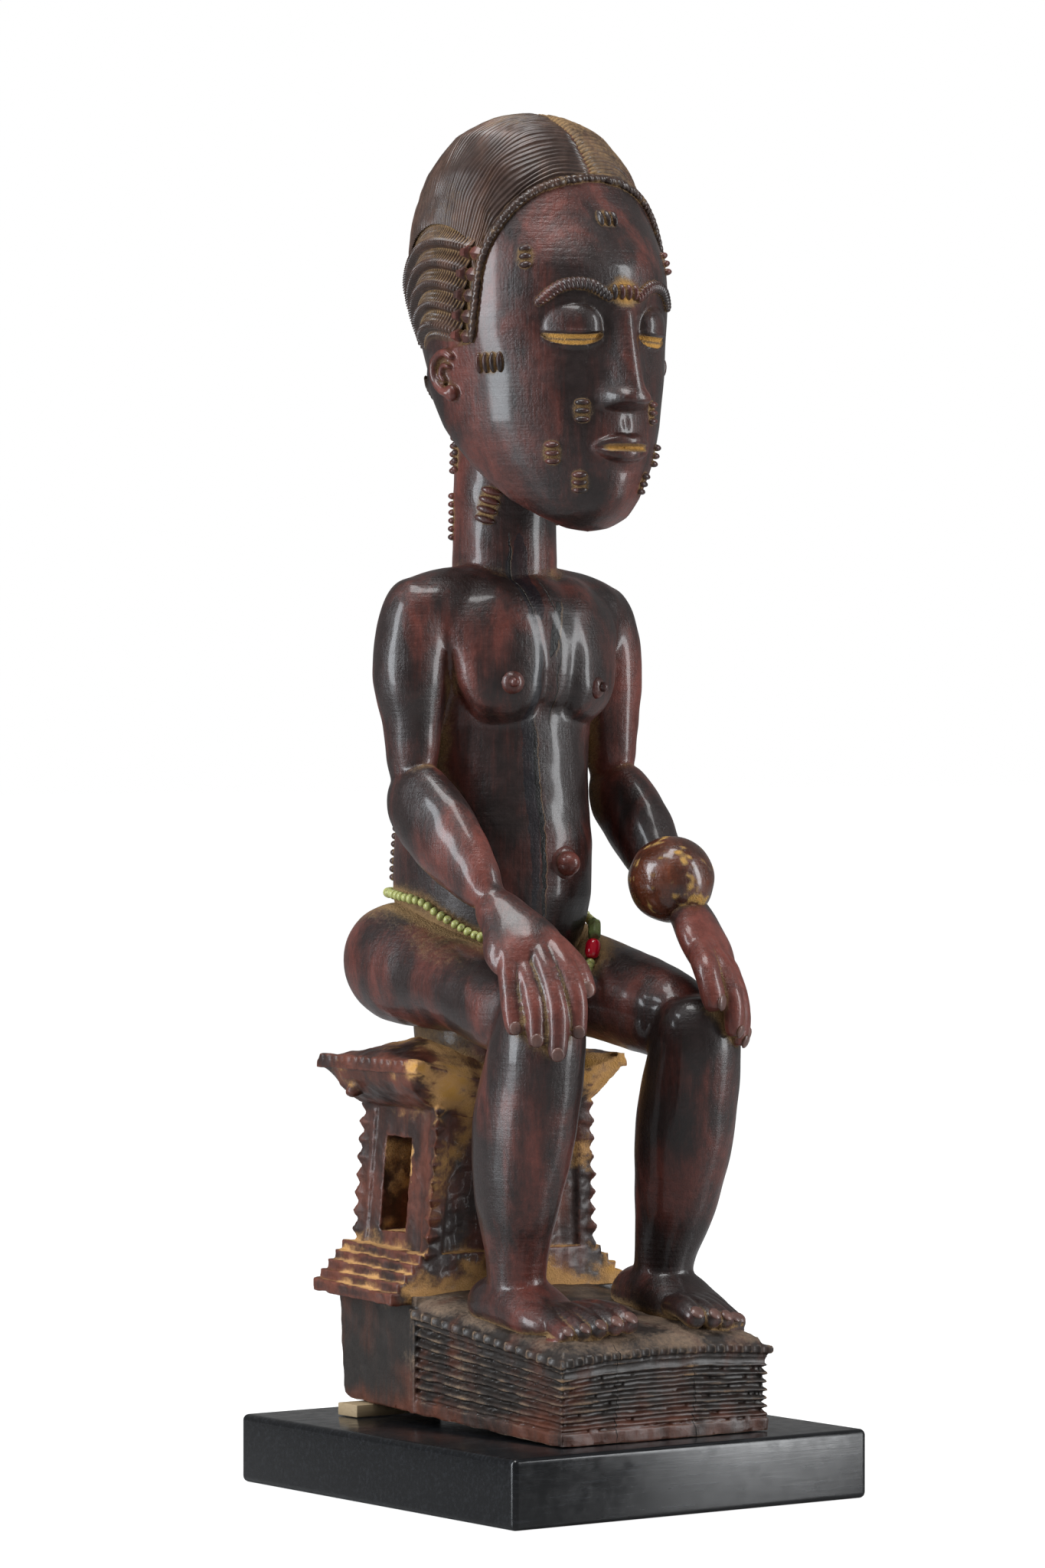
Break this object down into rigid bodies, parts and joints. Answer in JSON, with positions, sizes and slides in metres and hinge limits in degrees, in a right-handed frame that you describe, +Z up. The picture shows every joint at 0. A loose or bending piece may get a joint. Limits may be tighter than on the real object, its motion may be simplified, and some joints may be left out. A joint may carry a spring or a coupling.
{
  "type": "baule seated figure",
  "caption": "Carved dark wood figure of a seated person on a stool with a ribbed base, a string of waist beads and a black plinth.",
  "frame": {"origin": "middle of the plinth's underside", "axes": "+Z up; the figure faces -Y, and its right hand is on the -X side"},
  "size_m": [0.1528, 0.1672, 0.485],
  "materials": {
    "dark_wood": "old oily patina, ochre dust in the recesses",
    "black_wood": "satin black stain",
    "pale_wood": "bare",
    "bead_glass": "worn, opaque, pale green",
    "red_glass": "glossy, opaque, crimson"
  },
  "bodies": {
    "root": {"figure": "dark_wood", "plinth": "black_wood", "packing_block": "pale_wood", "waist_beads": "bead_glass", "red_bead": "red_glass"}
  },
  "joints": []
}
